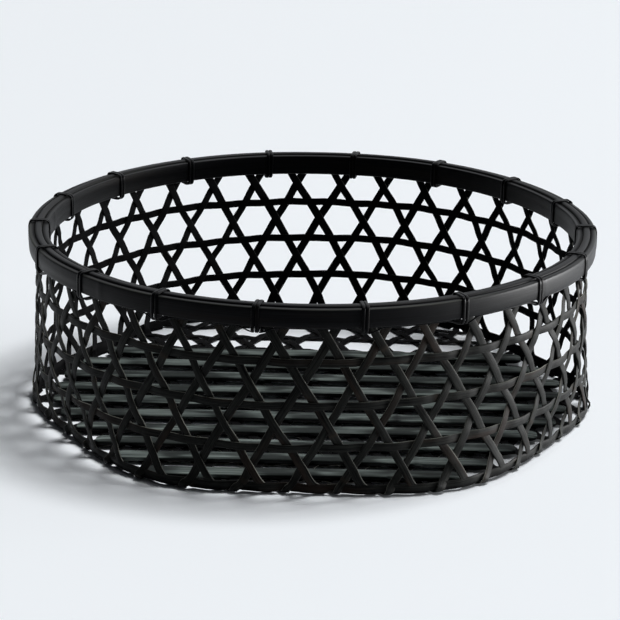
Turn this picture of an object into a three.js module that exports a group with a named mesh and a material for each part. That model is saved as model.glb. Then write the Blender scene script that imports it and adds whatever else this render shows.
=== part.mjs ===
// Round open basket of dyed bamboo: flat strips in an open hexagonal weave, floor slats, a lashed rim.
// Every woven strip starts in the rim, runs down the wall, crosses the floor and climbs to the rim again.
// The weave is cyclic: right-leaning strips pass outside the hoops, hoops outside the left-leaning strips,
// and left-leaning strips outside the right-leaning ones. So each strip goes over and under by turns.
import * as THREE from 'three';

// Overall sizes, in millimetres
const rimDiameter = 330;
const basketHeight = 109;

// Woven strips and hoops
const stripWidth = 5;
const stripThickness = 0.8;
const weaveClearance = 0.45;
const stripsPerSide = 6;
const lastCrossingDrop = 7.9;

// Six-sided base that turns round on its way up
const baseSides = 6;
const flatInset = 7.2;
const cornerReach = 3.3;
const baseFadeHeight = 60;
const drawInPower = 4;
const foldShare = 0.72;

// Floor slats, laid nearer the front than the back
const slatCount = 10;
const slatPitch = 22.6;
const slatShift = -30.5;
const slatEndGap = 12;
const slatWidth = 11;
const slatThickness = 1.4;

// Rim hoops, cap strip and lashing
const bandThickness = 3.3;
const bandHeight = 10.8;
const innerBandHeight = 12;
const bandEdge = 0.6;
const capRise = 1;
const capDepth = 4.5;
const lashWidth = 3.2;
const lashThickness = 1.2;
const lashTurnGap = 0.5;
const lashDrop = 2.4;
const lashRunSpans = 3;
const tieShift = 4.6;
const fitClearance = 0.35;
const rimFacets = 40;

// Weave worked out from the sizes above
const sixtyDegrees = Math.PI / 3;
const crossingAngle = (2 * Math.PI) / (2 * baseSides * stripsPerSide);
const crossingSpacing = (rimDiameter / 2 - bandThickness) * crossingAngle;
const crossingReach = stripWidth / 2 / Math.sin(sixtyDegrees);
const cornerShare = 1 - (2 * crossingReach) / (crossingSpacing - crossingReach);
const waveHeight = (stripThickness + weaveClearance) / 2 / cornerShare;
const weaveHalf = waveHeight + stripThickness / 2;
const stripPitch = crossingSpacing * Math.sqrt(3);
const facetSag = (rimDiameter / 2) * (1 - Math.cos(Math.PI / rimFacets));
const outerBand = rimDiameter / 2;
const wallRadius = outerBand - bandThickness - fitClearance - facetSag - weaveHalf;
const innerBand = wallRadius - weaveHalf - fitClearance;

// Heights
const floorTop = 2 * weaveHalf;
const firstHoopZ = floorTop + stripWidth / 2;
const bandTop = basketHeight - capRise;
const bandBottom = bandTop - bandHeight;
const lastCrossingZ = bandBottom - lastCrossingDrop;
const stripEndZ = basketHeight - capDepth - fitClearance;
const rowPairs = Math.round(((lastCrossingZ - firstHoopZ) / stripPitch) - 0.5);
const rowCount = 2 * rowPairs + 1;
const rowHeight = (lastCrossingZ - firstHoopZ) / rowCount;
const lean = Math.atan2(rowHeight, crossingSpacing / 2);

const up = new THREE.Vector3(0, 0, 1);
const down = new THREE.Vector3(0, 0, -1);

const stripMaterial = new THREE.MeshStandardMaterial({ color: 0x1d1e20, roughness: 0.42, metalness: 0 });
const slatMaterial = new THREE.MeshStandardMaterial({ color: 0x26282a, roughness: 0.46, metalness: 0 });
const rimMaterial = new THREE.MeshStandardMaterial({ color: 0x191a1d, roughness: 0.38, metalness: 0 });
const lashMaterial = new THREE.MeshStandardMaterial({ color: 0x202124, roughness: 0.5, metalness: 0 });

// Middle of the wall: a circle that spreads to a rounded hexagon near the base
function wallRadiusAt(angle, z) {
  const fade = Math.max(0, 1 - z / baseFadeHeight) ** 2;
  const middle = (cornerReach - flatInset) / 2;
  const swing = (cornerReach + flatInset) / 2;
  return wallRadius + fade * (middle + swing * Math.cos(baseSides * angle));
}

function wallPoint(angle, z) {
  const radius = wallRadiusAt(angle, z);
  return new THREE.Vector3(radius * Math.cos(angle), radius * Math.sin(angle), z);
}

// Level direction along the wall, the direction up its slope and the outward normal
function wallFrame(angle, z) {
  const nudge = 0.001;
  const along = wallPoint(angle + nudge, z).sub(wallPoint(angle - nudge, z)).normalize();
  const slope = wallPoint(angle, z + nudge).sub(wallPoint(angle, z)).normalize();
  const normal = along.clone().cross(slope).normalize();
  return { along, slope, normal };
}

// Direction in the wall's surface that leans right (+1) or left (-1), or runs level (0)
function wallDirection(frame, turn) {
  if (turn === 0) return frame.along.clone();
  const level = frame.along.clone().multiplyScalar(turn * Math.cos(lean));
  return level.addScaledVector(frame.slope, Math.sin(lean));
}

function floorDirection(angle) {
  return new THREE.Vector3(Math.cos(angle), Math.sin(angle), 0);
}

// Floor crossings lie on a regular hexagonal net that is drawn in towards the rounded base corners
function drawnIn(point) {
  const angle = Math.atan2(point.y, point.x);
  const radius = Math.hypot(point.x, point.y);
  const hoopLine = (stripsPerSide + 0.5) * stripPitch;
  const offSide = Math.atan(Math.tan(((angle + Math.PI * 2) % sixtyDegrees) - sixtyDegrees / 2));
  const netReach = hoopLine / Math.cos(offSide);
  const flatRadius = wallRadiusAt(sixtyDegrees / 2, firstHoopZ);
  const baseReach = wallRadiusAt(angle, firstHoopZ) + hoopLine - flatRadius;
  const share = (radius / netReach) ** drawInPower;
  return point.clone().multiplyScalar(1 - share * (1 - baseReach / netReach));
}

// One cross-section of a flat strip: its width lies along the strip that it crosses there
function flatSection(place) {
  const across = place.normal.clone().cross(place.travel);
  const half = place.cross.clone().multiplyScalar(place.width / 2 / place.cross.dot(across));
  const middle = place.point.clone().addScaledVector(place.normal, place.lift);
  const rise = place.normal.clone().multiplyScalar((place.thickness * place.mitre) / 2);
  return [
    middle.clone().sub(half).sub(rise),
    middle.clone().add(half).sub(rise),
    middle.clone().add(half).add(rise),
    middle.clone().sub(half).add(rise),
  ];
}

// Solid carried through a row of four-cornered sections, either with two ends or as a closed ring
function loft(sections, closed) {
  const corners = sections[0].length;
  const positions = sections.flat().flatMap((corner) => corner.toArray());
  const spans = closed ? sections.length : sections.length - 1;
  const faces = [];
  for (let span = 0; span < spans; span += 1) {
    const here = span * corners;
    const there = ((span + 1) % sections.length) * corners;
    for (let corner = 0; corner < corners; corner += 1) {
      const next = (corner + 1) % corners;
      faces.push(here + corner, here + next, there + next);
      faces.push(here + corner, there + next, there + corner);
    }
  }
  if (!closed) {
    const last = (sections.length - 1) * corners;
    faces.push(0, 2, 1, 0, 3, 2);
    faces.push(last, last + 1, last + 2, last, last + 2, last + 3);
  }
  const geometry = new THREE.BufferGeometry();
  geometry.setAttribute('position', new THREE.Float32BufferAttribute(positions, 3));
  geometry.setIndex(faces);
  geometry.computeVertexNormals();
  return geometry;
}

// Places along one wall stretch, from the lowest hoop up into the rim; turn is +1 where it leans right
function wallPlaces(startAngle, turn, firstSign) {
  const places = [];
  for (let row = 0; row <= rowCount; row += 1) {
    const z = firstHoopZ + row * rowHeight;
    const angle = startAngle + (turn * row * crossingAngle) / 2;
    const frame = wallFrame(angle, z);
    const atHoop = row % 2 === 0;
    places.push({
      point: wallPoint(angle, z),
      normal: frame.normal,
      cross: wallDirection(frame, atHoop ? 0 : -turn),
      lift: waveHeight * firstSign * (atHoop ? 1 : -1),
      mitre: 1,
    });
  }
  const endAngle = startAngle + (turn * crossingAngle * (stripEndZ - firstHoopZ)) / (2 * rowHeight);
  const { along, normal } = wallFrame(endAngle, stripEndZ);
  places.push({ point: wallPoint(endAngle, stripEndZ), normal, cross: along, lift: 0, mitre: 1 });
  return places;
}

// Turn from the floor to the wall, either round the outside of the lowest hoop or inside it
function foldPlace(floorPoint, hoopAngle, outside) {
  const floorAngle = Math.atan2(floorPoint.y, floorPoint.x);
  const swing = Math.atan2(Math.sin(hoopAngle - floorAngle), Math.cos(hoopAngle - floorAngle));
  const angle = floorAngle + foldShare * swing;
  const { along } = wallFrame(angle, firstHoopZ);
  const outward = along.clone().cross(up);
  const point = wallPoint(angle, firstHoopZ);
  point.addScaledVector(outward, outside ? waveHeight / 4 : -waveHeight - stripThickness);
  point.z = outside ? floorTop / 2 : stripThickness / 2;
  return {
    point,
    normal: outward.add(down).normalize(),
    cross: along,
    lift: 0,
    mitre: Math.SQRT2,
  };
}

// A strip of the first side: down the front wall leaning left, over the floor, up the far wall leaning
// right. It lies inside the lowest hoop at the front and outside it at the far wall.
function stripPlaces(index) {
  const direction = floorDirection(sixtyDegrees);
  const sideways = floorDirection(sixtyDegrees + Math.PI / 2);
  const offset = -(index + 0.5) * stripPitch;
  const crossings = 4 * stripsPerSide - 2 * index;
  const frontAngle = -Math.PI / 2 + (2 * index + 0.5 - stripsPerSide) * crossingAngle;
  const farAngle = sixtyDegrees / 2 + (stripsPerSide - 0.5 - 2 * index) * crossingAngle;
  const floor = [];
  for (let crossing = 1; crossing <= crossings; crossing += 1) {
    const along = (crossing - (crossings + 1) / 2) * crossingSpacing;
    const net = direction.clone().multiplyScalar(along).addScaledVector(sideways, offset);
    const under = crossing % 2 === 1;
    floor.push({
      point: drawnIn(net).setZ(weaveHalf),
      normal: down,
      cross: floorDirection(under ? 2 * sixtyDegrees : 0),
      lift: waveHeight * (under ? 1 : -1),
      mitre: 1,
    });
  }
  return [
    ...wallPlaces(frontAngle, -1, -1).reverse(),
    foldPlace(floor[0].point, frontAngle, false),
    ...floor,
    foldPlace(floor[crossings - 1].point, farAngle, true),
    ...wallPlaces(farAngle, 1, 1),
  ];
}

function stripGeometry(index) {
  const places = stripPlaces(index);
  const sections = places.map((place, step) => {
    const before = places[Math.max(0, step - 1)].point;
    const after = places[Math.min(places.length - 1, step + 1)].point;
    const travel = after.clone().sub(before);
    travel.addScaledVector(place.normal, -travel.dot(place.normal)).normalize();
    return flatSection({ ...place, travel, width: stripWidth, thickness: stripThickness });
  });
  return loft(sections, false);
}

// Level hoop through the wall, in and out between the leaning strips
function hoopGeometry(row) {
  const z = firstHoopZ + row * rowHeight;
  const sections = [];
  for (let crossing = 0; crossing < 2 * baseSides * stripsPerSide; crossing += 1) {
    const angle = (crossing + 0.5) * crossingAngle;
    const frame = wallFrame(angle, z);
    const leansLeft = (crossing + row / 2) % 2 === 0;
    const side = leansLeft ? -1 : 1;
    sections.push(flatSection({
      point: wallPoint(angle, z),
      normal: frame.normal,
      travel: frame.along,
      cross: wallDirection(frame, side),
      lift: -side * waveHeight,
      mitre: 1,
      width: stripWidth,
      thickness: stripThickness,
    }));
  }
  return loft(sections, true);
}

// Length along X from the middle of the floor to just inside the wall, at a distance from the X axis
function floorReach(offset) {
  const wallGap = waveHeight + 2 * stripThickness + fitClearance;
  let reach = Math.sqrt(wallRadius ** 2 - offset ** 2);
  for (let pass = 0; pass < 6; pass += 1) {
    const radius = wallRadiusAt(Math.atan2(offset, reach), floorTop) - wallGap;
    reach = Math.sqrt(radius ** 2 - offset ** 2);
  }
  return reach;
}

function slatGeometry(offset) {
  const near = offset - slatWidth / 2;
  const far = offset + slatWidth / 2;
  const nearReach = floorReach(near) - slatEndGap;
  const farReach = floorReach(far) - slatEndGap;
  const outline = new THREE.Shape([
    new THREE.Vector2(-nearReach, near),
    new THREE.Vector2(nearReach, near),
    new THREE.Vector2(farReach, far),
    new THREE.Vector2(-farReach, far),
  ]);
  return new THREE.ExtrudeGeometry(outline, { depth: slatThickness, bevelEnabled: false });
}

// Ring turned from a closed outline given as radius and height
function ringGeometry(outline) {
  const points = [...outline, outline[0]].map(([radius, z]) => new THREE.Vector2(radius, z));
  return new THREE.LatheGeometry(points, rimFacets).rotateX(Math.PI / 2);
}

// One unbroken strand: it runs round the outside of the strips just under the rim, and at each tie it
// takes a turn up over the rim, down its inner face and out again between two crossings
function lashingGeometry() {
  const ties = (baseSides * stripsPerSide) / 2;
  const half = lashThickness / 2;
  const outerRadius = outerBand + fitClearance + half;
  const innerRadius = innerBand - bandThickness - facetSag - fitClearance - half;
  const topZ = basketHeight + fitClearance + half;
  const runZ = bandTop - Math.max(bandHeight, innerBandHeight) - lashDrop - half;
  const advance = (lashWidth + lashTurnGap) / innerRadius;
  const tieStep = (2 * Math.PI) / ties;
  const runSag = outerBand * (1 - Math.cos(tieStep / lashRunSpans / 2));
  const runRadius = wallRadius + weaveHalf + fitClearance + lashWidth / 2 + runSag;
  const sections = [];
  for (let tie = 0; tie < ties; tie += 1) {
    const tieAngle = 4 * tie * crossingAngle + tieShift / outerBand;
    const addSection = (radius, z, turn, normalOut, normalUp, acrossAlong, acrossOut) => {
      const angle = tieAngle + turn;
      const outward = floorDirection(angle);
      const along = floorDirection(angle + Math.PI / 2).multiplyScalar(acrossAlong);
      const middle = outward.clone().multiplyScalar(radius).setZ(z);
      const rise = outward.clone().multiplyScalar(normalOut * half).addScaledVector(up, normalUp * half);
      const across = along.addScaledVector(outward, acrossOut).multiplyScalar(lashWidth / 2);
      sections.push([
        middle.clone().add(across).sub(rise),
        middle.clone().sub(across).sub(rise),
        middle.clone().sub(across).add(rise),
        middle.clone().add(across).add(rise),
      ]);
    };
    addSection(runRadius, runZ, -advance / 2, 0, -1, 1, -1);
    addSection(outerRadius, runZ, -advance * 0.4, 1, -1, 1, 0);
    addSection(outerRadius, topZ, -advance * 0.1, 1, 1, 1, 0);
    addSection(innerRadius, topZ, advance * 0.2, -1, 1, 1, 0);
    addSection(innerRadius, runZ, advance / 2, -1, -1, 1, 0);
    addSection(runRadius, runZ, advance / 2, 0, -1, 1, -1);
    for (let span = 1; span < lashRunSpans; span += 1) {
      const turn = advance / 2 + ((tieStep - advance) * span) / lashRunSpans;
      addSection(runRadius, runZ, turn, 0, -1, 0, -1);
    }
  }
  return loft(sections, true);
}

const basket = new THREE.Group();

function addPiece(name, geometry, material, turn = 0, height = 0) {
  const piece = new THREE.Mesh(geometry, material);
  piece.name = name;
  piece.rotation.z = turn;
  piece.position.z = height;
  basket.add(piece);
}

// Woven strips: the six strips of one side, repeated round the six sides
for (let index = 0; index < stripsPerSide; index += 1) {
  const geometry = stripGeometry(index);
  for (let side = 0; side < baseSides; side += 1) {
    addPiece(`side_${side + 1}_strip_${index + 1}`, geometry, stripMaterial, side * sixtyDegrees);
  }
}

// Wall hoops, counted from the base
for (let row = 0; row < rowCount; row += 2) {
  addPiece(`wall_hoop_${row / 2 + 1}`, hoopGeometry(row), stripMaterial);
}

// Floor slats, laid on the weave from front to back
for (let slat = 0; slat < slatCount; slat += 1) {
  const offset = slatShift + (slat - (slatCount - 1) / 2) * slatPitch;
  const height = floorTop + weaveClearance;
  addPiece(`floor_slat_${slat + 1}`, slatGeometry(offset), slatMaterial, 0, height);
}

// Rim: two hoops clamp the strip ends, and a cap strip closes the gap between them
const capHalf = weaveHalf - facetSag;
addPiece('rim_outer_hoop', ringGeometry([
  [outerBand - bandThickness, bandBottom],
  [outerBand - bandEdge, bandBottom],
  [outerBand, bandBottom + bandEdge],
  [outerBand, bandTop - bandEdge],
  [outerBand - bandEdge, bandTop],
  [outerBand - bandThickness, bandTop],
]), rimMaterial);
addPiece('rim_inner_hoop', ringGeometry([
  [innerBand - bandThickness, bandTop - innerBandHeight],
  [innerBand, bandTop - innerBandHeight],
  [innerBand, bandTop],
  [innerBand - bandThickness, bandTop],
]), rimMaterial);
addPiece('rim_cap', ringGeometry([
  [wallRadius - capHalf, basketHeight - capDepth],
  [wallRadius + capHalf, basketHeight - capDepth],
  [wallRadius + capHalf, basketHeight - capRise],
  [wallRadius, basketHeight],
  [wallRadius - capHalf, basketHeight - capRise],
]), rimMaterial);
addPiece('rim_lashing', lashingGeometry(), lashMaterial);

export default basket;
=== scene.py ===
import math
import bpy
import numpy as np
from mathutils import Matrix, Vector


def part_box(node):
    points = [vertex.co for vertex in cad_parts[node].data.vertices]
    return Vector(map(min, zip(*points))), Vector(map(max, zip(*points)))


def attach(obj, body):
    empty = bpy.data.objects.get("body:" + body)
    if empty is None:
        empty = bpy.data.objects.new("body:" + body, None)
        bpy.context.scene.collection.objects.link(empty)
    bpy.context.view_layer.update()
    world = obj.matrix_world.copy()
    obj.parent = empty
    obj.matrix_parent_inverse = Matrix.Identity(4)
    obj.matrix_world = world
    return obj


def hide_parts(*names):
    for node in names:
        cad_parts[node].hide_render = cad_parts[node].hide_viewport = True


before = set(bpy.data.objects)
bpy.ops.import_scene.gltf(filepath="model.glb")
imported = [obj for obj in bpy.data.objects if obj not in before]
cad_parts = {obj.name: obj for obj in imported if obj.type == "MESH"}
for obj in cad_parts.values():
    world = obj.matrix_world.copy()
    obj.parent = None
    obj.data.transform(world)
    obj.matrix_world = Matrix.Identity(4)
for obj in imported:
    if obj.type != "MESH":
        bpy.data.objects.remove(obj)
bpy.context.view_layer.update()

print("frame loaded:", len(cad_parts), "nodes")

perMetre = 1000.0  # the pieces' sizes are in mm
weave = {  # lattice shared by the strips and hoops, mm
    "sideCount": 6,
    "stripsPerSide": 6,
    "crossingAngle": math.radians(5.0),
    "crossingSpacing": 14.111,
    "wallRadius": 159.15,
    "flatInset": 7.2,  # the base is a rounded hexagon that turns round on its way up
    "cornerReach": 5.2,
    "bulge": 1.6,  # the wall swells a little between base and rim
    "bulgeTop": 95.0,
    "fullSide": 4.5,  # one side of the base is laid out fuller than the rest
    "fullBearing": math.radians(-42.0),
    "fullWidth": math.radians(28.0),
    "fadeHeight": 60.0,
    "firstHoopZ": 4.6,
    "rowHeight": 12.1,
    "rowCount": 7,
    "floorMiddle": 1.2,
    "lift": 0.5,  # how far a strip bows over the one that it crosses
    "holdShare": 0.2,  # of the way to the next crossing, over which it keeps that lift
    "slopeStep": 1e-3,  # small step for the wall's slope, radians or mm
}
weaveAngle = math.pi / 3  # between the three directions of the weave
pitch = weave["crossingSpacing"] * math.sqrt(3)  # strip to strip on the floor
crossingCount = round(2 * math.pi / weave["crossingAngle"])  # round the wall


def toLinear(hexText):  # sRGB hex to the linear colour that a socket takes
    channel = np.array([int(hexText[i:i + 2], 16) for i in (1, 3, 5)]) / 255
    linear = np.where(channel <= 0.04045, channel / 12.92, ((channel + 0.055) / 1.055) ** 2.4)
    return (*linear.tolist(), 1.0)


def addNode(tree, kind, settings, inputs):  # a socket given as an input is linked, a value is set
    node = tree.nodes.new(kind)
    for key, value in settings.items():
        setattr(node, key, value)
    for key, value in inputs.items():
        if isinstance(value, bpy.types.NodeSocket):
            tree.links.new(value, node.inputs[key])
        else:
            node.inputs[key].default_value = value
    return node


def unit(vectors):  # each vector over its length
    return vectors / np.linalg.norm(vectors, axis=-1, keepdims=True)


def boxOf(name):  # low and high corner of the solid, mm
    return [np.array(corner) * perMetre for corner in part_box(name)]


# A closed profile carried along a path: profile point (u, v) goes to path + u * across + v * normal,
# where across is travel x normal, so u runs over the face and v out of it
def carry(path, normal, profile, closed=False):
    if closed:
        ahead = np.roll(path, -1, 0) - path
        travel = unit(np.roll(path, -1, 0) - np.roll(path, 1, 0))
    else:
        ahead = np.diff(path, axis=0)
        travel = unit(np.gradient(path, axis=0))
    normal = unit(normal - (normal * travel).sum(-1, keepdims=True) * travel)
    across = np.cross(travel, normal)
    profile = np.broadcast_to(profile, (len(path), *np.shape(profile)[-2:]))
    points = path[:, None] + profile[..., :1] * across[:, None] + profile[..., 1:] * normal[:, None]
    run = np.concatenate([[0.0], np.cumsum(np.linalg.norm(ahead, axis=1))])
    return {"points": points, "run": run, "profile": profile, "closed": closed}


profileMarks = {  # which part of a strip's profile shows the cut edge, the painted highlight on it, or the pith
    "from": 0.8,  # share of the half width
    "over": 0.15,
    "otherEdgeShare": 0.4,  # one edge gets the full pale edge, partly its own colour and partly a painted highlight as if lit from that side, and the other one has this share
    "pithBelow": -0.1,  # mm from the middle of the thickness
}


# Mask over a profile: 0 on the skin, rising to 1 on the outer share of the half width, -1 on the pith side;
# the pale edge is partly the cut edge's own colour and partly a painted highlight, full on one edge only
def edgeMask(profile):
    u, v = profile[..., 0], profile[..., 1]
    outward = np.abs(u) / np.abs(u).max(axis=1, keepdims=True)
    mask = np.clip((outward - profileMarks["from"]) / profileMarks["over"], 0, 1)
    mask = mask * np.where(u < 0, 1.0, profileMarks["otherEdgeShare"])
    return np.where(v < profileMarks["pithBelow"], -1.0, mask)


grainShift = (173.0, 31.0)  # mm along and across from one piece's grain to the next one's


# Puts a carried surface into a mesh: quads between neighbouring rings, a cap at each open end, a UV map of
# length and width in metres for the grain, and two masks for the finish: one over the profile (pale cut
# edges with a painted highlight on one edge, painted shade on the slats' sides and underside) and one for
# bamboo joints
def addPiece(name, surface, material, seed, joint=None, edge=None):
    points, profile, closed = surface["points"], surface["profile"], surface["closed"]
    rings, count = points.shape[:2]
    i, j = np.meshgrid(np.arange(rings if closed else rings - 1), np.arange(count), indexing="ij")
    i, j = i.ravel(), j.ravel()
    nextRing, nextPoint = (i + 1) % rings, (j + 1) % count
    ringOf = np.stack([i, i, nextRing, nextRing], 1)
    pointOf = np.stack([j, nextPoint, nextPoint, j], 1)
    quads = ringOf * count + pointOf
    along = surface["run"][np.stack([i, i, i + 1, i + 1], 1)] + grainShift[0] * seed
    grain = np.stack([along, profile[ringOf, pointOf, 0] + grainShift[1] * seed], -1)
    flat = points.reshape(-1, 3)
    a, b, c, d = (flat[quads[:, k]] for k in range(4))
    inward = (a * np.cross(b, c)).sum() + (a * np.cross(c, d)).sum() < 0  # by the sign of the volume
    if inward:
        quads, grain = quads[:, ::-1], grain[:, ::-1]
    faces, uv = quads.tolist(), grain.reshape(-1, 2)
    if not closed:
        for end in (np.arange(count)[::-1], (rings - 1) * count + np.arange(count)):
            end = end[::-1] if inward else end
            faces.append(end.tolist())
            uv = np.concatenate([uv, profile.reshape(-1, 2)[end] + grainShift[0] * seed])
    mesh = bpy.data.meshes.new(name)
    mesh.from_pydata((flat / perMetre).tolist(), [], faces)
    mesh.polygons.foreach_set("use_smooth", [len(face) == 4 for face in faces])
    mesh.uv_layers.new(name="grain").data.foreach_set("uv", (uv / perMetre).ravel())
    edge = edgeMask(profile) if edge is None else edge
    mesh.attributes.new("profileMarks", "FLOAT", "POINT").data.foreach_set("value", edge.ravel())
    joint = np.zeros(rings) if joint is None else joint
    mesh.attributes.new("joint", "FLOAT", "POINT").data.foreach_set("value", np.repeat(joint, count))
    mesh.materials.append(material)
    mesh.update()
    piece = bpy.data.objects.new("look_" + name, mesh)
    bpy.context.scene.collection.objects.link(piece)
    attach(piece, "root")
    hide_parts(name)


# Outline of a flat strip: a superellipse (2u / width)^power + (2v / thickness)^power = 1, with a crown of
# 1 - (2u / width)^2 added on the skin side
def stripProfile(width, thickness, crown, count=16, power=3.6):
    turn = np.arange(count) / count * 2 * np.pi
    u = np.sign(np.cos(turn)) * np.abs(np.cos(turn)) ** (2 / power) * width / 2
    v = np.sign(np.sin(turn)) * np.abs(np.sin(turn)) ** (2 / power) * thickness / 2
    return np.stack([u, v + np.where(v > 0, crown * (1 - (2 * u / width) ** 2), 0)], -1)


# Outline of a thick band: a rectangle with quarter circles at its corners and points along its long faces,
# with a crown of 1 - (2u / width)^2 added on the outer one
def bandProfile(width, thickness, radius, crown, cornerPoints=5, facePoints=5):
    turn = np.linspace(0, np.pi / 2, cornerPoints)
    arc = np.stack([np.cos(turn), np.sin(turn)], -1) * radius
    x, y = width / 2 - radius, thickness / 2 - radius
    line = np.linspace(1, -1, facePoints + 2)[1:-1, None]
    face = np.hstack([line * x, np.full_like(line, thickness / 2)])
    top = np.concatenate([arc + [x, y], face, (arc * [-1, 1])[::-1] + [-x, y]])
    outline = np.concatenate([top, -top])
    crownRise = np.where(outline[:, 1] > 0, crown * (1 - (2 * outline[:, 0] / width) ** 2), 0)
    return outline + np.stack([np.zeros(len(outline)), crownRise], -1)


def swollen(outline, across, out):  # one outline for each ring, times a share across and a share out
    return outline * np.stack([across, out], -1)[:, None]


# Unevenness of hand work: a sum of size * sin(rate * x + shift * seed) over waves of (size, rate, shift)
def handWave(x, waves, seed):
    return sum(size * np.sin(rate * x + shift * seed) for size, rate, shift in waves)


dye = {  # how noise levels turn into looks, shared by all finishes
    "fibreFrom": 0.35,
    "fibreTo": 0.7,
    "brownOver": 0.2,
    "markFrom": 0.3,
    "markTo": 0.65,
    "roughFrom": 0.3,
    "roughTo": 0.7,
    "pithRough": 0.3,  # added to the roughness, so that the pith side is matt
    "ridgeHeight": 0.3,  # mm
    "ior": 1.5,
}


# Black-dyed split bamboo: the dye soaks the fibres unevenly, so the eye gets fine lengthwise streaks, faint
# brown where the dye is thin, a soft lacquer sheen, paler cut edges with a painted highlight on one edge and
# a matt pith side; on the slats it also lays painted shade on the sides and underside
def dyedBamboo(name, look):
    material = bpy.data.materials.new(name)
    material.use_nodes = True
    tree = material.node_tree
    tree.nodes.clear()
    grain = addNode(tree, "ShaderNodeUVMap", {"uv_map": "grain"}, {}).outputs["UV"]
    fibreSpace = addNode(tree, "ShaderNodeMapping", {}, {
        "Vector": grain,
        "Scale": (perMetre / look["fibreLength"], perMetre / look["fibreWidth"], 1)}).outputs["Vector"]
    patchSpace = addNode(tree, "ShaderNodeMapping", {}, {
        "Vector": grain,
        "Scale": (perMetre / look["patchLength"], perMetre / look["patchWidth"], 1)}).outputs["Vector"]
    fibre = addNode(tree, "ShaderNodeTexNoise", {"noise_dimensions": "2D"}, {
        "Vector": fibreSpace, "Scale": 1.0, "Detail": 4.0, "Roughness": 0.62}).outputs["Fac"]
    patch = addNode(tree, "ShaderNodeTexNoise", {"noise_dimensions": "2D"}, {
        "Vector": patchSpace, "Scale": 1.0, "Detail": 2.0, "Roughness": 0.5}).outputs["Fac"]
    fibreMask = addNode(tree, "ShaderNodeMapRange", {}, {
        "Value": fibre, "From Min": dye["fibreFrom"], "From Max": dye["fibreTo"]}).outputs["Result"]
    thinDye = addNode(tree, "ShaderNodeMapRange", {"interpolation_type": "SMOOTHSTEP"}, {
        "Value": patch, "From Min": look["brownFrom"], "From Max": look["brownFrom"] + dye["brownOver"],
        "To Max": look["brownShare"]}).outputs["Result"]
    streaked = addNode(tree, "ShaderNodeMix", {"data_type": "RGBA"}, {
        "Factor": fibreMask, "A": toLinear(look["deep"]), "B": toLinear(look["streak"])}).outputs["Result"]
    browned = addNode(tree, "ShaderNodeMix", {"data_type": "RGBA"}, {
        "Factor": thinDye, "A": streaked, "B": toLinear(look["brown"])}).outputs["Result"]
    # Edge colour laid by the profile mask: on strips, rim and lashing a pale edge that is partly a painted
    # highlight, on slats painted shade on the sides and underside
    edge = addNode(tree, "ShaderNodeAttribute", {"attribute_name": "profileMarks"}, {}).outputs["Fac"]
    markAmount = addNode(tree, "ShaderNodeMath", {"operation": "MULTIPLY"}, {0: edge, 1: patch}).outputs["Value"]
    markMask = addNode(tree, "ShaderNodeMapRange", {}, {
        "Value": markAmount, "From Min": dye["markFrom"], "From Max": dye["markTo"],
        "To Max": look["edgeShare"]}).outputs["Result"]
    edged = addNode(tree, "ShaderNodeMix", {"data_type": "RGBA"}, {
        "Factor": markMask, "A": browned, "B": toLinear(look["edgeColour"])}).outputs["Result"]
    joint = addNode(tree, "ShaderNodeAttribute", {"attribute_name": "joint"}, {}).outputs["Fac"]
    jointed = addNode(tree, "ShaderNodeMix", {"data_type": "RGBA"}, {
        "Factor": joint, "A": edged, "B": toLinear(look["jointLine"])}).outputs["Result"]
    pith = addNode(tree, "ShaderNodeMapRange", {}, {"Value": edge, "From Max": -1.0}).outputs["Result"]
    sided = addNode(tree, "ShaderNodeMix", {"data_type": "RGBA"}, {
        "Factor": pith, "A": jointed, "B": toLinear(look["deep"])}).outputs["Result"]
    skinRough = addNode(tree, "ShaderNodeMapRange", {}, {
        "Value": patch, "From Min": dye["roughFrom"], "From Max": dye["roughTo"],
        "To Min": look["rough"][0], "To Max": look["rough"][1]}).outputs["Result"]
    rough = addNode(tree, "ShaderNodeMath", {"operation": "MULTIPLY_ADD"}, {
        0: pith, 1: dye["pithRough"], 2: skinRough}).outputs["Value"]
    ridges = addNode(tree, "ShaderNodeBump", {}, {
        "Strength": look["ridge"], "Distance": dye["ridgeHeight"] / perMetre,
        "Height": fibre}).outputs["Normal"]
    shader = addNode(tree, "ShaderNodeBsdfPrincipled", {}, {
        "Base Color": sided, "Roughness": rough, "Normal": ridges,
        "IOR": dye["ior"], "Specular IOR Level": look["gloss"],
        "Specular Tint": (look["frontGloss"],) * 3 + (1.0,)}).outputs["BSDF"]  # duller seen face on
    addNode(tree, "ShaderNodeOutputMaterial", {}, {"Surface": shader})
    return material


# Sizes of fibres and dye patches are in mm. Split strips: dull near-black skin, pale split edges, the paler
# one partly a painted highlight
stripBamboo = dyedBamboo("blackDyedStripBamboo", {
    "deep": "#060607", "streak": "#242523", "brown": "#241c18", "edgeColour": "#72736c", "jointLine": "#24201c",
    "fibreLength": 34, "fibreWidth": 0.45, "patchLength": 70, "patchWidth": 9,
    "brownShare": 0.6, "brownFrom": 0.53, "edgeShare": 0.8,
    "rough": (0.5, 0.62), "ridge": 0.25, "gloss": 0.18, "frontGloss": 0.05})
# Sawn slats: a light grey top that is a painted sheen, deep patches at random along them, and sides and
# underside painted dark as shade; the fibres drawn coarse enough to show
slatBamboo = dyedBamboo("blackDyedSlatBamboo", {
    "deep": "#1c2221", "streak": "#79837f", "brown": "#101413", "edgeColour": "#050606", "jointLine": "#050506",
    "fibreLength": 70, "fibreWidth": 1.1, "patchLength": 45, "patchWidth": 14,
    "brownShare": 0.9, "brownFrom": 0.39, "edgeShare": 1.0,
    "rough": (0.54, 0.7), "ridge": 0.22, "gloss": 0.13, "frontGloss": 0.5})
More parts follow.
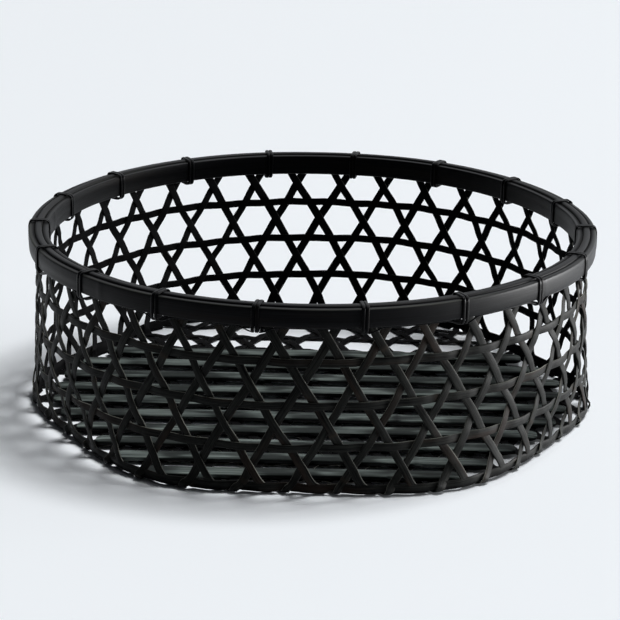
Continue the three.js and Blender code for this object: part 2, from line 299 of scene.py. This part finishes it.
# Bent rim: lacquered, the blackest and smoothest of the bamboo, with a long soft sheen; its paler edges are
# partly worn bamboo and partly a painted highlight, full on one edge of each band
rimBamboo = dyedBamboo("lacqueredRimBamboo", {
    "deep": "#030304", "streak": "#0e0f11", "brown": "#120e0c", "edgeColour": "#3d3f3a", "jointLine": "#020203",
    "fibreLength": 90, "fibreWidth": 0.6, "patchLength": 140, "patchWidth": 8,
    "brownShare": 0.5, "brownFrom": 0.53, "edgeShare": 0.6,
    "rough": (0.43, 0.55), "ridge": 0.2, "gloss": 0.48, "frontGloss": 0.04})
# Cane strand: dyed through, black with a small tight sheen
caneLashing = dyedBamboo("dyedCaneLashing", {
    "deep": "#020203", "streak": "#07080a", "brown": "#0d0806", "edgeColour": "#1c1d1d", "jointLine": "#020203",
    "fibreLength": 20, "fibreWidth": 0.5, "patchLength": 30, "patchWidth": 6,
    "brownShare": 0.4, "brownFrom": 0.53, "edgeShare": 0.1,
    "rough": (0.34, 0.47), "ridge": 0.25, "gloss": 0.25, "frontGloss": 0.04})
print("finishes made")


# Middle of the wall: a circle that spreads to a rounded hexagon, radius + fade * (mean + swing * cos 6a),
# plus a swelling 4h (1 - h) between the base and the rim and a hump e^-(x^2) on the fuller side of the base
def wallRadiusAt(angle, z):
    fade = np.clip(1 - z / weave["fadeHeight"], 0, None) ** 2
    mean = (weave["cornerReach"] - weave["flatInset"]) / 2
    swing = (weave["cornerReach"] + weave["flatInset"]) / 2
    share = np.clip(z / weave["bulgeTop"], 0, 1)
    swelling = 4 * weave["bulge"] * share * (1 - share)
    aside = (angle - weave["fullBearing"] + np.pi) % (2 * np.pi) - np.pi
    hump = weave["fullSide"] * np.exp(-(aside / weave["fullWidth"]) ** 2)
    hexagon = mean + swing * np.cos(weave["sideCount"] * angle)
    return weave["wallRadius"] + swelling + fade * (hexagon + hump)


def wallPoint(angle, z):  # radius * cos angle, radius * sin angle, z
    radius = wallRadiusAt(angle, z)
    return np.stack([radius * np.cos(angle), radius * np.sin(angle), z + 0 * angle], -1)


def wallNormal(angle, z):  # level direction x slope direction
    step = weave["slopeStep"]
    level = wallPoint(angle + step, z) - wallPoint(angle - step, z)
    return unit(np.cross(level, wallPoint(angle, z + step) - wallPoint(angle, z)))


# Floor crossings: a regular hexagonal net, scaled by 1 - (r / reach)^4 * (1 - base reach / reach)
def drawnIn(net):
    angle, radius = np.arctan2(net[:, 1], net[:, 0]), np.hypot(net[:, 0], net[:, 1])
    hoopLine = (weave["stripsPerSide"] + 0.5) * pitch
    offSide = (angle + 2 * np.pi) % weaveAngle - weaveAngle / 2
    reach = hoopLine / np.cos(offSide)
    flatRadius = wallRadiusAt(weaveAngle / 2, weave["firstHoopZ"])
    base = wallRadiusAt(angle, weave["firstHoopZ"]) + hoopLine - flatRadius
    return net * (1 - (radius / reach) ** 4 * (1 - base / reach))[:, None]


# Cubic through points: the slope at a point is the weighted mean of the chords beside it
def smoothThrough(knots, values, at):
    chord = np.diff(values, axis=0) / np.diff(knots)[:, None]
    before, after = np.diff(knots)[:-1, None], np.diff(knots)[1:, None]
    between = (chord[:-1] * after + chord[1:] * before) / (before + after)
    slope = np.concatenate([chord[:1], between, chord[-1:]])
    step = np.clip(np.searchsorted(knots, at, side="right") - 1, 0, len(knots) - 2)
    span = (knots[step + 1] - knots[step])[:, None]
    t = (at - knots[step])[:, None] / span
    return (values[step] * (1 + 2 * t) * (1 - t) ** 2 + slope[step] * span * t * (1 - t) ** 2
            + values[step + 1] * t * t * (3 - 2 * t) + slope[step + 1] * span * t * t * (t - 1))


# Over and under: each crossing's lift is held over the strip it meets and eases to the next by s^2 (3 - 2s)
def heldLift(knots, lifts, at):
    step = np.clip(np.searchsorted(knots, at, side="right") - 1, 0, len(knots) - 2)
    along = (at - knots[step]) / (knots[step + 1] - knots[step])
    share = np.clip((along - weave["holdShare"]) / (1 - 2 * weave["holdShare"]), 0, 1)
    return lifts[step] + (lifts[step + 1] - lifts[step]) * share * share * (3 - 2 * share)


culm = {  # bamboo joints on strips and hoops, mm
    "jointEvery": 190.0,  # length of culm between two joints
    "jointShift": 67.0,  # from one piece's first joint to the next one's
    "jointReach": 1.5,
    "widen": 0.06,  # share that a joint adds to the width
    "raise": 0.3,  # and to the thickness
}


def culmJoints(seed, length):  # places of the joints along a piece, one culm length apart
    return np.arange(seed * culm["jointShift"] % culm["jointEvery"], length, culm["jointEvery"])


# Bamboo joint: a low ring 1 / (1 + (x / reach)^2)^2 that stands on the piece at each place along it
def jointRings(at, places, reach):
    return np.clip(sum((1 / (1 + ((at - place) / reach) ** 2) ** 2 for place in places), 0 * at), 0, 1)


strip = {  # woven strips, mm
    "width": 4.7,
    "thickness": 0.8,
    "crown": 0.12,
    "endZ": 104.0,  # tucked between the rim hoops
    "foldRadius": 2.6,
    "foldOut": 0.8,  # the bend goes round the outside of the lowest hoop, or stays inside it
    "foldShares": (0.55, 0.72, 0.86),  # where it bends, from the last floor crossing to the hoop
    "ringStep": 1.3,
    "stray": ((0.5, 1 / 27, 2.1), (0.25, 1 / 9.7, 4.3)),  # hand-laid, so it strays a little sideways
    "breadthWave": ((0.07, 1 / 41, 1.7), (0.03, 1 / 13, 3.1)),  # and is split a little unevenly
}


# Route of a strip of the side that is turned by spin: down the near wall leaning left, round the base edge,
# over the floor and up the far wall leaning right, as points, outward normals and over-under signs, where
# the sign is nan at the fold
def stripRoute(index, spin):
    perSide, step = weave["stripsPerSide"], weave["crossingAngle"]
    count = 4 * perSide - 2 * index
    frontAngle = spin - np.pi / 2 + (2 * index + 0.5 - perSide) * step
    farAngle = spin + weaveAngle / 2 + (perSide - 0.5 - 2 * index) * step
    along = (np.arange(1, count + 1) - (count + 1) / 2) * weave["crossingSpacing"]
    heading = spin + weaveAngle
    direction = np.array([np.cos(heading), np.sin(heading)])
    sideways = np.array([-np.sin(heading), np.cos(heading)])
    net = drawnIn(along[:, None] * direction - (index + 0.5) * pitch * sideways)
    floorPoints = np.column_stack([net, np.full(count, weave["floorMiddle"])])
    rows = np.arange(weave["rowCount"] + 1)
    rowSigns = np.append(np.where(rows % 2 == 0, 1.0, -1.0), 0.0)
    rows = np.append(rows, (strip["endZ"] - weave["firstHoopZ"]) / weave["rowHeight"])
    z = weave["firstHoopZ"] + rows * weave["rowHeight"]
    bend, fold = np.array([0, np.pi / 4, np.pi / 2]), strip["foldRadius"]
    climbs = []
    for crossing, hoopAngle, turn in ((floorPoints[0], frontAngle, -1), (floorPoints[-1], farAngle, 1)):
        floorAngle = np.arctan2(crossing[1], crossing[0])
        swing = np.arctan2(np.sin(hoopAngle - floorAngle), np.cos(hoopAngle - floorAngle))
        angle = floorAngle + np.array(strip["foldShares"]) * swing
        outside = wallRadiusAt(angle, weave["firstHoopZ"]) + turn * strip["foldOut"]
        radius = outside - fold * (1 - np.sin(bend))
        edgeZ = weave["floorMiddle"] + fold * (1 - np.cos(bend))
        edge = np.stack([radius * np.cos(angle), radius * np.sin(angle), edgeZ], -1)
        level = np.sin(bend)
        edgeNormal = np.stack([np.cos(angle) * level, np.sin(angle) * level, -np.cos(bend)], -1)
        wallAngle = hoopAngle + turn * rows * step / 2
        climbs.append((np.concatenate([edge, wallPoint(wallAngle, z)]),
                       np.concatenate([edgeNormal, wallNormal(wallAngle, z)]),
                       np.concatenate([np.full(len(edge), np.nan), turn * rowSigns])))
    front, far = climbs
    floorSigns = np.where(np.arange(count) % 2 == 0, 1.0, -1.0)  # along the outward, downward normal
    return (np.concatenate([front[0][::-1], floorPoints, far[0]]),
            np.concatenate([front[1][::-1], np.tile([0.0, 0.0, -1.0], (count, 1)), far[1]]),
            np.concatenate([front[2][::-1], floorSigns, far[2]]))


stripCount = weave["sideCount"] * weave["stripsPerSide"]
stripOutline = stripProfile(strip["width"], strip["thickness"], strip["crown"])
for seed in range(stripCount):
    side, index = divmod(seed, weave["stripsPerSide"])
    points, normals, signs = stripRoute(index, side * weaveAngle)
    knots = np.concatenate([[0.0], np.cumsum(np.linalg.norm(np.diff(points, axis=0), axis=1))])
    at = np.linspace(0, knots[-1], int(knots[-1] / strip["ringStep"]))
    middle = smoothThrough(knots, points, at)
    outward = unit(np.stack([np.interp(at, knots, normals[:, k]) for k in range(3)], -1))
    woven = np.isfinite(signs)
    lift = heldLift(knots[woven], weave["lift"] * signs[woven], at)
    sideways = np.cross(unit(np.gradient(middle, axis=0)), outward)
    stray = handWave(at, strip["stray"], seed)
    path = middle + outward * lift[:, None] + sideways * stray[:, None]
    breadth = 1 + handWave(at, strip["breadthWave"], seed)
    ring = jointRings(at, culmJoints(seed, knots[-1]), culm["jointReach"])
    profile = swollen(stripOutline, breadth + culm["widen"] * ring, 1 + culm["raise"] * ring)
    name = f"side_{side + 1}_strip_{index + 1}"
    addPiece(name, carry(path, outward, profile), stripBamboo, seed, joint=ring)
print("woven strips:", stripCount, "pieces")

hoop = {  # level hoops through the wall, mm
    "count": 4,
    "rowsApart": 2,
    "width": 4.6,
    "thickness": 0.8,
    "crown": 0.12,
    "ringsPerCrossing": 11,
    "stray": ((0.4, 5, 1), (0.24, 13, 2)),  # up and down on its way round
    "footZ": 0.3,  # the lowest hoop reaches down almost to the ground
    "footLift": 1.3,  # and rises over each strip that folds under it
    "footTurn": 0.25,  # its lower edge turns in with the base, by this times the square of the way down
    "footTurnFrom": 1.0,  # from this far below its middle
    "foldAside": math.radians(1.1),  # a strip folds under the hoop this far beside their crossing
    "overFrom": 0.8,  # share of the lift from which the hoop starts to rise over the fold
    "firstSeed": 50,
}
hoopRings = crossingCount * hoop["ringsPerCrossing"]
hoopAngle = np.arange(hoopRings) / hoopRings * 2 * np.pi
crossingNumber = np.arange(-1, crossingCount + 2)  # a full turn and one more on either side
crossings = (crossingNumber + 0.5) * weave["crossingAngle"]
hoopOutline = stripProfile(hoop["width"], hoop["thickness"], hoop["crown"])
for number in range(hoop["count"]):
    seed = hoop["firstSeed"] + number
    z = weave["firstHoopZ"] + number * hoop["rowsApart"] * weave["rowHeight"]
    z = z + handWave(hoopAngle, hoop["stray"], seed)
    outside = np.where((crossingNumber + number) % 2 == 0, 1.0, -1.0)  # outside the left-leaning strips
    lift = heldLift(crossings, weave["lift"] * outside, hoopAngle)
    normal = wallNormal(hoopAngle, z)
    path = wallPoint(hoopAngle, z) + normal * lift[:, None]
    length = hoopAngle * weave["wallRadius"]
    ring = jointRings(length, culmJoints(seed, length[-1]), culm["jointReach"])
    profile = swollen(hoopOutline, 1 + culm["widen"] * ring, 1 + culm["raise"] * ring)
    if number == 0:
        aside = heldLift(crossings, outside, hoopAngle + hoop["foldAside"])
        over = np.clip((-aside - hoop["overFrom"]) / (1 - hoop["overFrom"]), 0, 1)  # 1 above a fold
        reach = (z - hoop["footZ"] - hoop["footLift"] * over)[:, None]
        u, v = profile[..., 0], profile[..., 1]
        u = np.where(u > 0, u / u.max(axis=1, keepdims=True) * reach, u)  # u runs down here
        turnIn = hoop["footTurn"] * np.clip(u - hoop["footTurnFrom"], 0, None) ** 2
        profile = np.stack([u, v - turnIn], -1)
        normal = unit(normal * [1, 1, 0])
    surface = carry(path, normal, profile, closed=True)
    addPiece(f"wall_hoop_{number + 1}", surface, stripBamboo, seed, joint=ring)
print("wall hoops:", hoop["count"], "pieces")

slat = {  # floor slats, mm
    "count": 10,
    "width": 10.6,
    "thickness": 2.6,
    "radius": 0.8,
    "crown": 0.25,
    "under": 2.3,  # height of the underside, on the weave
    "endReach": 5.0,  # past the solid's end, nearer to the wall
    "endRound": 4.5,
    "tipWidth": 0.35,  # share of the width that the very end keeps
    "tipThickness": 0.55,
    "endRings": 8,
    "middleRings": 90,
    "bow": ((0.5, 1 / 70, 1.9),),  # sideways
    "wave": ((0.18, 1 / 33, 2.3),),  # up and down
    "breadthWave": ((0.05, 1 / 90, 1.0),),
    "joints": ((0.6, 12.9, 0.0), (0.9, 7.3, 1.0)),  # share of the half length, rate and shift by seed
    "jointReach": 1.6,
    "jointRaise": 0.22,
    "lineReach": 0.9,  # of the dark line on a joint
    "lineShare": 0.8,
    "sideShade": 2.0,  # the sides and underside are painted dark as shade, and the top keeps the light grey of the painted sheen
    "shadeSlack": 0.01,
    "firstSeed": 60,
}
slatOutline = bandProfile(slat["width"], slat["thickness"], slat["radius"], slat["crown"])
endTurn = np.linspace(-np.pi / 2, np.pi / 2, slat["endRings"] + 1)
ends = np.sin(endTurn) / 2 + 0.5  # closer rings at the tip
for number in range(slat["count"]):
    name = f"floor_slat_{number + 1}"
    low, high = boxOf(name)
    seed = slat["firstSeed"] + number
    reach = high[0] + slat["endReach"]
    straight = reach - slat["endRound"]
    x = np.concatenate([-reach + slat["endRound"] * ends[:-1],
                        np.linspace(-straight, straight, slat["middleRings"]),
                        reach - slat["endRound"] * ends[::-1][1:]])
    fromEnd = np.clip((reach - np.abs(x)) / slat["endRound"], 0, 1)
    quarterCircle = np.sqrt(1 - (1 - fromEnd) ** 2)
    taper = slat["tipWidth"] + (1 - slat["tipWidth"]) * quarterCircle
    thinning = slat["tipThickness"] + (1 - slat["tipThickness"]) * np.sqrt(fromEnd)
    places = [share * reach * np.sin(rate * seed + shift) for share, rate, shift in slat["joints"]]
    ring = jointRings(x, places, slat["jointReach"])
    line = slat["lineShare"] * jointRings(x, places, slat["lineReach"])
    y = (low[1] + high[1]) / 2 + handWave(x, slat["bow"], seed)
    z = slat["under"] + slat["thickness"] / 2 + handWave(x, slat["wave"], seed)
    breadth = taper * (1 + handWave(x, slat["breadthWave"], seed))
    profile = swollen(slatOutline, breadth, thinning * (1 + slat["jointRaise"] * ring))
    surface = carry(np.stack([x, y, z], -1), np.tile([0.0, 0.0, 1.0], (len(x), 1)), profile)
    # Painted shade: the sides and underside, below the top's rounding, take the near-black edge colour
    topFrom = slat["thickness"] / 2 - slat["radius"] + slat["shadeSlack"]
    shadedSide = slat["sideShade"] * (profile[..., 1] < topFrom)
    addPiece(name, surface, slatBamboo, seed, joint=line, edge=shadedSide)
print("floor slats:", slat["count"], "pieces")

rim = {  # two bent hoops and the cap that closes the gap between them, mm
    "thickness": 3.4,
    "inset": 0.3,  # leaves room for the outer hoop's crown inside the solid's size
    "samples": 540,
    "sway": ((0.25, 3, 0.7), (0.15, 5, 2.2), (0.1, 11, 0.0)),  # steam-bent by hand, so not quite true
    "wave": ((0.125, 7, 0.4),),  # up and down
    "saddle": 0.5,  # front and back stand higher than the sides by twice this
    "jointReach": 1.8,
    "jointRaise": 0.16,
    "lineReach": 0.8,  # of the dark line on a joint
    "outer": {"corner": 0.95, "crown": 0.3, "joints": (95, 372, 655, 930), "seed": 80},
    "inner": {"corner": 0.8, "crown": 0.25, "joints": (210, 500, 790), "seed": 81},
    "cap": {"width": 4.1, "thickness": 3.0, "corner": 0.9, "crown": 0.45, "sunk": 1.95, "seed": 82},
}
outerLow, outerHigh = boxOf("rim_outer_hoop")
innerLow, innerHigh = boxOf("rim_inner_hoop")
capTop = boxOf("rim_cap")[1][2]
outerRadius, rimHigh = outerHigh[1], outerHigh[2]
innerRadius = innerHigh[1]  # outer face of the inner hoop
outerMiddle = outerRadius - rim["thickness"] / 2 - rim["inset"]
innerMiddle = innerRadius - rim["thickness"] / 2
rimAngle = np.arange(rim["samples"]) / rim["samples"] * 2 * np.pi
rimLength = rimAngle * outerRadius
rimSway = handWave(rimAngle, rim["sway"], 1)
rimRise = rim["saddle"] * (1 - np.cos(2 * rimAngle)) + handWave(rimAngle, rim["wave"], 1)
outwardRing = np.stack([np.cos(rimAngle), np.sin(rimAngle), 0 * rimAngle], -1)


def ringPath(radius, height):  # circle of that radius that sways in and out and up and down a little
    path = outwardRing * (radius + rimSway)[:, None]
    path[:, 2] = height + rimRise
    return path


def addRimHoop(name, radius, low, facing, look):  # band carried round the rim, from low to the hoops' top
    outline = bandProfile(rimHigh - low, rim["thickness"], look["corner"], look["crown"])
    ring = jointRings(rimLength, look["joints"], rim["jointReach"])
    line = jointRings(rimLength, look["joints"], rim["lineReach"])
    profile = swollen(outline, 1 + 0 * ring, 1 + rim["jointRaise"] * ring)
    surface = carry(ringPath(radius, (low + rimHigh) / 2), facing, profile, closed=True)
    addPiece(name, surface, rimBamboo, look["seed"], joint=line)


addRimHoop("rim_outer_hoop", outerMiddle, outerLow[2], outwardRing, rim["outer"])
addRimHoop("rim_inner_hoop", innerMiddle, innerLow[2], -outwardRing, rim["inner"])
cap = rim["cap"]
capProfile = bandProfile(cap["width"], cap["thickness"], cap["corner"], cap["crown"])
capRadius = (outerRadius - rim["thickness"] - rim["inset"] + innerRadius) / 2
capPath = ringPath(capRadius, capTop - cap["sunk"])
capSurface = carry(capPath, np.tile([0.0, 0.0, 1.0], (rim["samples"], 1)), capProfile, closed=True)
addPiece("rim_cap", capSurface, rimBamboo, cap["seed"])
print("rim hoops and cap: 3 pieces")

lashing = {  # one cane strand, mm
    "ties": 18,
    "shift": 4.6,  # along the rim from the middle of a gap between crossings
    "tieStray": ((0.006, 5.1, 0.0),),  # radians along the rim, from tie to tie
    "width": 2.0,
    "thickness": 0.6,
    "crown": 0.2,
    "profilePoints": 10,
    "turns": 2,
    "advance": 4.4,  # along the rim over the turns of one tie
    "samplesPerTurn": 64,
    "runSamples": 26,
    "power": 5.0,  # how square the loop round the rim is
    "runTurn": math.radians(-65),  # where the run lies, under the outer hoop
    "runEase": 0.15,  # share of the run at either end, over which it comes up to the hoop
    "outClear": 0.05,  # from the rim to the strand, on its four sides and under the outer hoop
    "inClear": 0.25,
    "topClear": 0.02,
    "lowClear": 2.0,
    "runClear": 0.1,
    "seed": 90,
}
halfStrand = lashing["thickness"] / 2
loopOut = outerRadius + lashing["outClear"] + halfStrand
loopIn = innerRadius - rim["thickness"] - lashing["inClear"] - halfStrand
loopTop = capTop + lashing["topClear"] + halfStrand
loopLow = innerLow[2] - lashing["lowClear"] - halfStrand
loopMiddle = np.array([(loopOut + loopIn) / 2, (loopTop + loopLow) / 2])
loopHalf = np.array([(loopOut - loopIn) / 2, (loopTop - loopLow) / 2])

# One strand: round the rim twice at each tie on a superellipse, then on under the outer hoop to the next tie
wrapShare = np.linspace(0, 1, lashing["turns"] * lashing["samplesPerTurn"], endpoint=False)
runShare = np.linspace(0, 1, lashing["runSamples"], endpoint=False)
halfTie = lashing["advance"] / outerRadius / 2
tieStep = 2 * np.pi / lashing["ties"]
tieTurn = np.concatenate([-halfTie + 2 * halfTie * wrapShare,
                          halfTie + (tieStep - 2 * halfTie) * runShare])
tieLoop = np.concatenate([lashing["runTurn"] + 2 * np.pi * lashing["turns"] * wrapShare,
                          np.full(len(runShare), lashing["runTurn"])])
ties = np.arange(lashing["ties"])[:, None]
tieStart = ties * tieStep + lashing["shift"] / outerRadius + handWave(ties, lashing["tieStray"], 1)
lashAngle = (tieStart + tieTurn).ravel()
lashLoop = np.tile(tieLoop, lashing["ties"])
roundLoop = np.stack([np.cos(lashLoop), np.sin(lashLoop)], -1)
squareLoop = np.sign(roundLoop) * np.abs(roundLoop) ** (2 / lashing["power"])
place = loopMiddle + loopHalf * squareLoop
snug = np.array([outerMiddle, outerLow[2] - lashing["runClear"] - halfStrand])
ease = np.clip(np.minimum(runShare, 1 - runShare) / lashing["runEase"], 0, 1)
held = np.tile(np.concatenate([0 * wrapShare, ease * ease * (3 - 2 * ease)]), lashing["ties"])[:, None]
place = place + (snug - place) * held  # the run is drawn up under the outer hoop
facing = np.sign(squareLoop) * np.abs(squareLoop) ** (lashing["power"] - 1) / loopHalf
radial = np.stack([np.cos(lashAngle), np.sin(lashAngle), 0 * lashAngle], -1)
swayAt = np.interp(lashAngle, rimAngle, rimSway, period=2 * np.pi)
riseAt = np.interp(lashAngle, rimAngle, rimRise, period=2 * np.pi)
lashPath = radial * (place[:, :1] + swayAt[:, None])
lashPath[:, 2] = place[:, 1] + riseAt
lashPath = (np.roll(lashPath, 1, 0) + 2 * lashPath + np.roll(lashPath, -1, 0)) / 4  # eases turn into run
lashNormal = radial * facing[:, :1]
lashNormal[:, 2] = facing[:, 1]
lashOutline = stripProfile(lashing["width"], lashing["thickness"], lashing["crown"],
                           count=lashing["profilePoints"])
lashSurface = carry(lashPath, lashNormal, lashOutline, closed=True)
addPiece("rim_lashing", lashSurface, caneLashing, lashing["seed"])
print("rim lashing: 1 piece")

studio = {  # ground sheet, surround and lamps, metres and degrees
    "groundColour": "#f3f7fb",
    "groundSize": 12.0,
    "groundDrop": 0.0001,  # just under the basket
    "groundRough": 0.8,
    "groundGloss": 0.1,
    "sunBearing": 22.0,  # behind the basket's right side
    "sunHeight": 70.0,
    "sunWidth": 26.0,  # sets how soft the shadow is
    "sunStrength": 2.7,
    "sunDistance": 3.0,
    "panelStrength": 220.0,  # low on the right, for the grey sheen on the strips there
    "panelPlace": (3.2, 0.36, 0.1),
    "panelAim": (0.0, 0.0, 0.06),
    "panelSize": (2.0, 0.18),
    "surroundBearing": 35.0,  # behind the right side, where the surround is brightest
    "surroundTilt": 0.7,  # level and upward part of that direction
    "surroundFade": (-0.1, 0.9),  # cosines between which it goes from dim to bright
    "surroundDim": "#3a3c40",
    "surroundBright": "#f4f7fb",
    "surroundStrength": 0.14,
}
groundMesh = bpy.data.meshes.new("paleFloor")
corners = np.array([[-1, -1, 0], [1, -1, 0], [1, 1, 0], [-1, 1, 0]]) * studio["groundSize"] / 2
groundMesh.from_pydata((corners - [0, 0, studio["groundDrop"]]).tolist(), [], [[0, 1, 2, 3]])
ground = bpy.data.objects.new("paleFloor", groundMesh)
bpy.context.scene.collection.objects.link(ground)
groundPaint = bpy.data.materials.new("mattWhiteFloor")  # white paint, flat and even with hardly any sheen
groundPaint.use_nodes = True
groundShader = groundPaint.node_tree.nodes["Principled BSDF"]
groundShader.inputs["Base Color"].default_value = toLinear(studio["groundColour"])
groundShader.inputs["Roughness"].default_value = studio["groundRough"]
groundShader.inputs["Specular IOR Level"].default_value = studio["groundGloss"]
groundMesh.materials.append(groundPaint)

# Surround: dim to bright by the smoothed cosine to its brightest side, plain bright where it is seen itself,
# at full level to the eye and in reflections and at its own strength as light
world = bpy.data.worlds.new("softSurround")
world.use_nodes = True
bpy.context.scene.world = world
worldTree = world.node_tree
worldTree.nodes.clear()
seen = addNode(worldTree, "ShaderNodeLightPath", {}, {})
shown = seen.outputs["Is Camera Ray"]
for kind in ("Is Glossy Ray", "Is Transmission Ray"):
    shown = addNode(worldTree, "ShaderNodeMath", {"operation": "MAXIMUM"}, {
        0: shown, 1: seen.outputs[kind]}).outputs["Value"]
strength = addNode(worldTree, "ShaderNodeMapRange", {}, {
    "Value": shown, "To Min": studio["surroundStrength"], "To Max": 1.0}).outputs["Result"]
bearing, tilt = math.radians(studio["surroundBearing"]), studio["surroundTilt"]
cosine = addNode(worldTree, "ShaderNodeVectorMath", {"operation": "DOT_PRODUCT"}, {
    0: addNode(worldTree, "ShaderNodeTexCoord", {}, {}).outputs["Generated"],
    1: (tilt * math.cos(bearing), tilt * math.sin(bearing), tilt)}).outputs["Value"]
bright = addNode(worldTree, "ShaderNodeMapRange", {"interpolation_type": "SMOOTHSTEP"}, {
    "Value": cosine, "From Min": studio["surroundFade"][0],
    "From Max": studio["surroundFade"][1]}).outputs["Result"]
surround = addNode(worldTree, "ShaderNodeMix", {"data_type": "RGBA"}, {
    "Factor": bright, "A": toLinear(studio["surroundDim"]),
    "B": toLinear(studio["surroundBright"])}).outputs["Result"]
surroundSeen = addNode(worldTree, "ShaderNodeMix", {"data_type": "RGBA"}, {
    "Factor": seen.outputs["Is Camera Ray"], "A": surround,
    "B": toLinear(studio["surroundBright"])}).outputs["Result"]
sky = addNode(worldTree, "ShaderNodeBackground", {}, {"Color": surroundSeen, "Strength": strength})
addNode(worldTree, "ShaderNodeOutputWorld", {}, {"Surface": sky.outputs["Background"]})


def placement(right, upward, back, location):  # matrix of a lamp or camera, which looks away from back
    placed = np.eye(4)
    placed[:3, :3] = np.stack([right, upward, back], 1)
    placed[:3, 3] = location
    return Matrix(placed.tolist())


def addLamp(name, kind, power, location, aim, **settings):
    lamp = bpy.data.lights.new(name, kind)
    lamp.energy = power
    for key, value in settings.items():
        setattr(lamp, key, value)
    holder = bpy.data.objects.new(name, lamp)
    bpy.context.scene.collection.objects.link(holder)
    back = unit(np.array(location) - np.array(aim))
    right = unit(np.cross([0, 0, 1], back))
    holder.matrix_world = placement(right, np.cross(back, right), back, location)


sunBearing, sunHeight = math.radians(studio["sunBearing"]), math.radians(studio["sunHeight"])
sunLevel = math.cos(sunHeight)
sunWay = np.array([math.cos(sunBearing) * sunLevel, math.sin(sunBearing) * sunLevel, math.sin(sunHeight)])
addLamp("topSun", "SUN", studio["sunStrength"], studio["sunDistance"] * sunWay, (0, 0, 0),
        angle=math.radians(studio["sunWidth"]))
addLamp("sidePanel", "AREA", studio["panelStrength"], studio["panelPlace"], studio["panelAim"],
        shape="RECTANGLE", size=studio["panelSize"][0], size_y=studio["panelSize"][1])
print("ground and lamps placed")

view = {  # camera fitted to the photographed ellipse of the rim and the base
    "distance": 1.65,
    "elevation": 0.3131,
    "azimuth": math.radians(1.6),
    "roll": 0.0122,
    "target": (0.0, 0.0, 0.0542),
    "focal": 2802.2,  # pixels in a frame of 620
    "frame": 620,
    "middle": (311.1, 312.35),
    "sensor": 36.0,  # mm
    "clip": (0.05, 50.0),
}
azimuth, roll = view["azimuth"], view["roll"]
level = math.cos(view["elevation"])
back = np.array([math.sin(azimuth) * level, -math.cos(azimuth) * level, math.sin(view["elevation"])])
right = np.array([math.cos(azimuth), math.sin(azimuth), 0.0])
upward = np.cross(back, right)
rolledRight = math.cos(roll) * right + math.sin(roll) * upward
rolledUpward = math.cos(roll) * upward - math.sin(roll) * right
camera = bpy.data.cameras.new("camera")
camera.sensor_width = view["sensor"]
camera.lens = view["focal"] * view["sensor"] / view["frame"]
camera.shift_x = -(view["middle"][0] - view["frame"] / 2) / view["frame"]
camera.shift_y = (view["middle"][1] - view["frame"] / 2) / view["frame"]
camera.clip_start, camera.clip_end = view["clip"]
cameraHolder = bpy.data.objects.new("camera", camera)
bpy.context.scene.collection.objects.link(cameraHolder)
cameraPlace = np.array(view["target"]) + view["distance"] * back
cameraHolder.matrix_world = placement(rolledRight, rolledUpward, back, cameraPlace)
bpy.context.scene.camera = cameraHolder
bpy.context.scene.view_settings.view_transform = "Standard"
print("camera placed")
